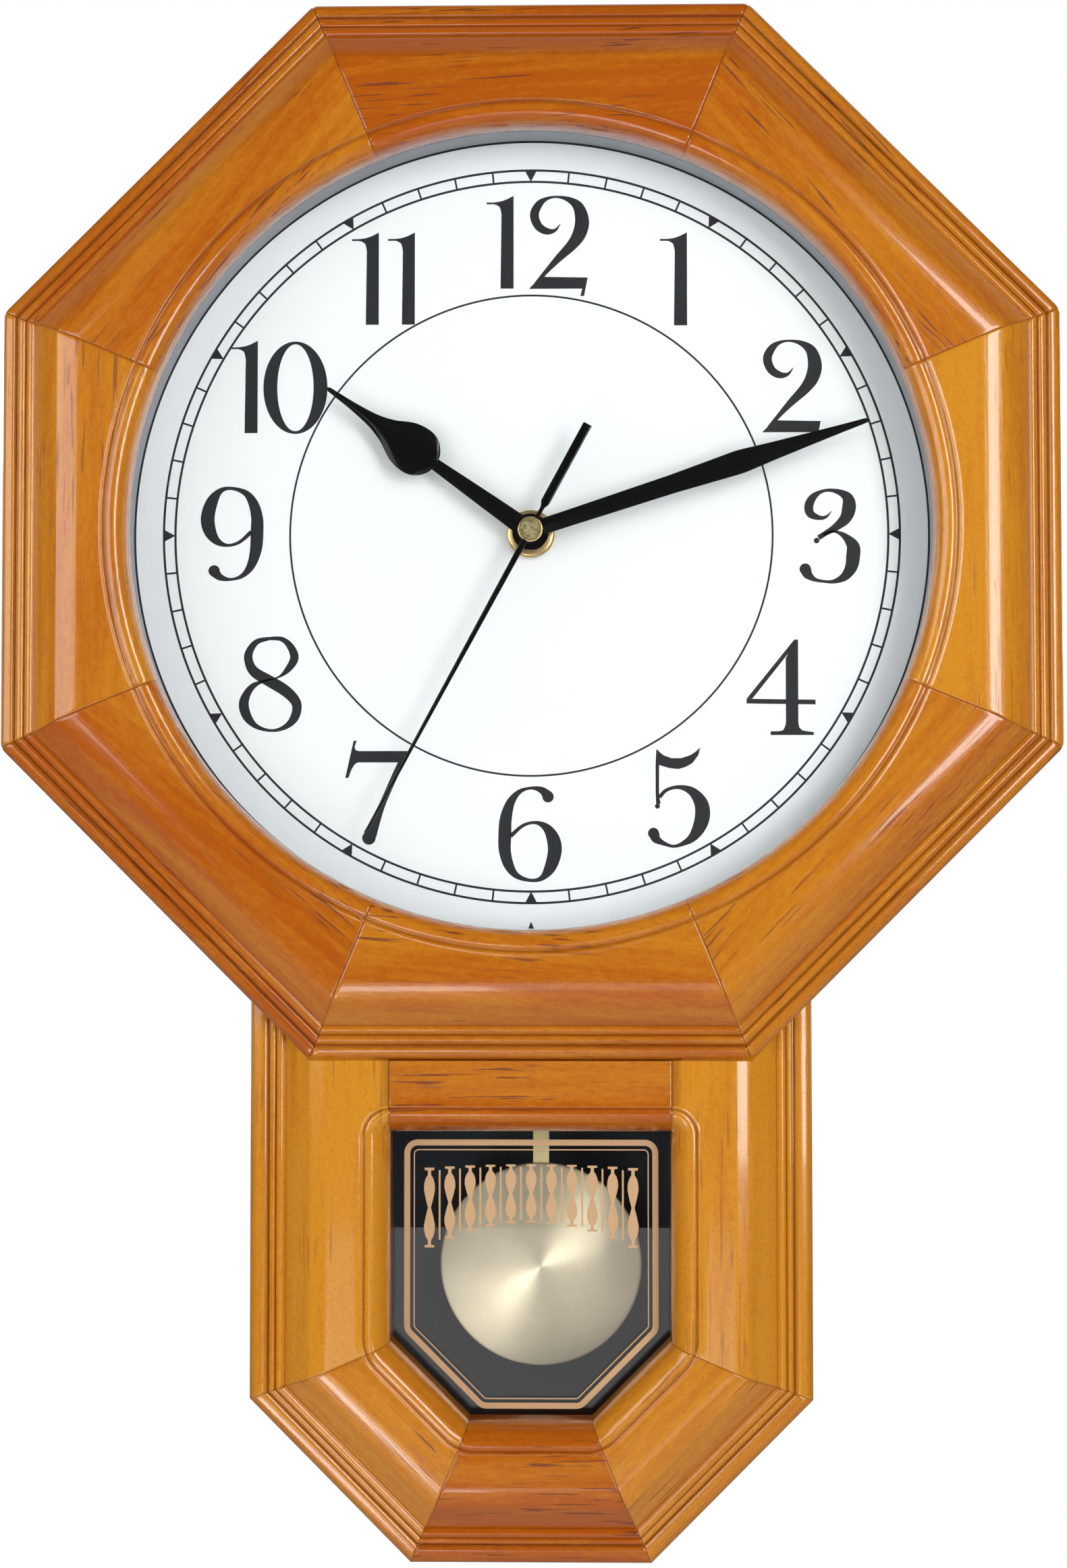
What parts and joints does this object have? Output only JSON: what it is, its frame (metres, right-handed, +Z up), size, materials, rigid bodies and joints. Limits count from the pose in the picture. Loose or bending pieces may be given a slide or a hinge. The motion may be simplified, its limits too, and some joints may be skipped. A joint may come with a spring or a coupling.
{
  "type": "wall clock",
  "caption": "Schoolhouse wall clock: octagonal moulded wood bezel, round dial with three hands, short chamfered drop case with a glazed window and pendulum.",
  "frame": {"origin": "centre of the hanger plate's keyhole, on the clock's back plane", "axes": "+Z up, +Y into the wall, the dial faces -Y, +X to the right as the dial is read"},
  "size_m": [0.324, 0.092, 0.477],
  "materials": {
    "stained_pine": "gloss lacquer",
    "stained_boards": "satin lacquer",
    "plywood": "raw",
    "leatherette": "grained",
    "clear_glass": "polished",
    "grey_plastic": "satin",
    "white_dial": "satin",
    "black_hand": "gloss black",
    "polished_brass": "polished",
    "brushed_brass": "spun",
    "zinc_steel": "zinc plated",
    "black_plastic": "moulded",
    "white_plastic": "moulded",
    "copper_winding": "wound",
    "board_green": "satin",
    "battery_sleeve": "printed",
    "magnet": "plain"
  },
  "bodies": {
    "case": {"bezel_top": "stained_pine", "bezel_top_left": "stained_pine", "bezel_left": "stained_pine", "bezel_bottom_left": "stained_pine", "bezel_bottom": "stained_pine", "bezel_bottom_right": "stained_pine", "bezel_right": "stained_pine", "bezel_top_right": "stained_pine", "drop_left_stile": "stained_pine", "drop_right_stile": "stained_pine", "drop_top_rail": "stained_pine", "drop_left_diagonal": "stained_pine", "drop_right_diagonal": "stained_pine", "drop_bottom_rail": "stained_pine", "head_top_board": "stained_boards", "head_left_board": "stained_boards", "head_right_board": "stained_boards", "head_floor_board": "stained_boards", "trunk_left_board": "stained_boards", "trunk_right_board": "stained_boards", "trunk_left_diagonal": "stained_boards", "trunk_right_diagonal": "stained_boards", "trunk_floor_board": "stained_boards", "dial_board": "plywood", "head_back": "plywood", "trunk_back": "leatherette", "dial_glass": "clear_glass", "spacer_ring": "grey_plastic", "dial_plate": "white_dial", "window_glass": "clear_glass", "glass_clips": "zinc_steel", "hanger_plate": "zinc_steel", "screws": "zinc_steel", "movement_housing": "black_plastic", "movement_cover": "black_plastic", "threaded_bush": "polished_brass", "washer": "zinc_steel", "round_nut": "polished_brass", "stator": "zinc_steel", "motor_coil": "copper_winding", "circuit_board": "board_green", "battery": "battery_sleeve", "battery_contacts": "zinc_steel", "drive_coil": "copper_winding"},
    "minute_arbor": {"minute_hand": "black_hand", "centre_wheel": "white_plastic"},
    "hour_arbor": {"hour_hand": "black_hand", "hour_wheel": "white_plastic"},
    "second_arbor": {"second_hand": "black_hand", "second_cap": "polished_brass", "second_wheel": "white_plastic"},
    "third_arbor": {"third_wheel": "white_plastic"},
    "setting_arbor": {"motion_wheel": "white_plastic", "setting_knob": "black_plastic"},
    "intermediate_arbor": {"intermediate_wheel": "white_plastic"},
    "rotor_arbor": {"rotor": "magnet"},
    "pendulum": {"swing_arm": "white_plastic", "arm_magnet": "magnet", "pendulum_rod": "brushed_brass", "pendulum_bob": "brushed_brass"}
  },
  "joints": [
    {"name": "minute_turn", "type": "hinge", "parent": "case", "child": "minute_arbor", "pos_m": [0, -0.05, -0.085], "axis": [0, 1, 0], "continuous": true},
    {"name": "hour_turn", "type": "hinge", "parent": "case", "child": "hour_arbor", "pos_m": [0, -0.05, -0.085], "axis": [0, 1, 0], "continuous": true},
    {"name": "second_turn", "type": "hinge", "parent": "case", "child": "second_arbor", "pos_m": [0, -0.05, -0.085], "axis": [0, 1, 0], "continuous": true},
    {"name": "third_turn", "type": "hinge", "parent": "case", "child": "third_arbor", "pos_m": [0.013, -0.05, -0.085], "axis": [0, 1, 0], "continuous": true},
    {"name": "setting_turn", "type": "hinge", "parent": "case", "child": "setting_arbor", "pos_m": [0, -0.05, -0.071], "axis": [0, 1, 0], "continuous": true},
    {"name": "intermediate_turn", "type": "hinge", "parent": "case", "child": "intermediate_arbor", "pos_m": [-0.013, -0.05, -0.085], "axis": [0, 1, 0], "continuous": true},
    {"name": "rotor_turn", "type": "hinge", "parent": "case", "child": "rotor_arbor", "pos_m": [-0.01494, -0.05, -0.09603], "axis": [0, 1, 0], "continuous": true},
    {"name": "pendulum_swing", "type": "hinge", "parent": "case", "child": "pendulum", "pos_m": [0.0026, -0.0329, -0.1], "axis": [0, 1, 0], "range_deg": [-5, 5]}
  ],
  "couplings": [
    {"joint": "hour_turn", "follows": "minute_turn", "ratio": 0.083333},
    {"joint": "second_turn", "follows": "minute_turn", "ratio": 60},
    {"joint": "third_turn", "follows": "minute_turn", "ratio": -8},
    {"joint": "setting_turn", "follows": "minute_turn", "ratio": -0.33333},
    {"joint": "intermediate_turn", "follows": "minute_turn", "ratio": -300},
    {"joint": "rotor_turn", "follows": "minute_turn", "ratio": 1800}
  ]
}
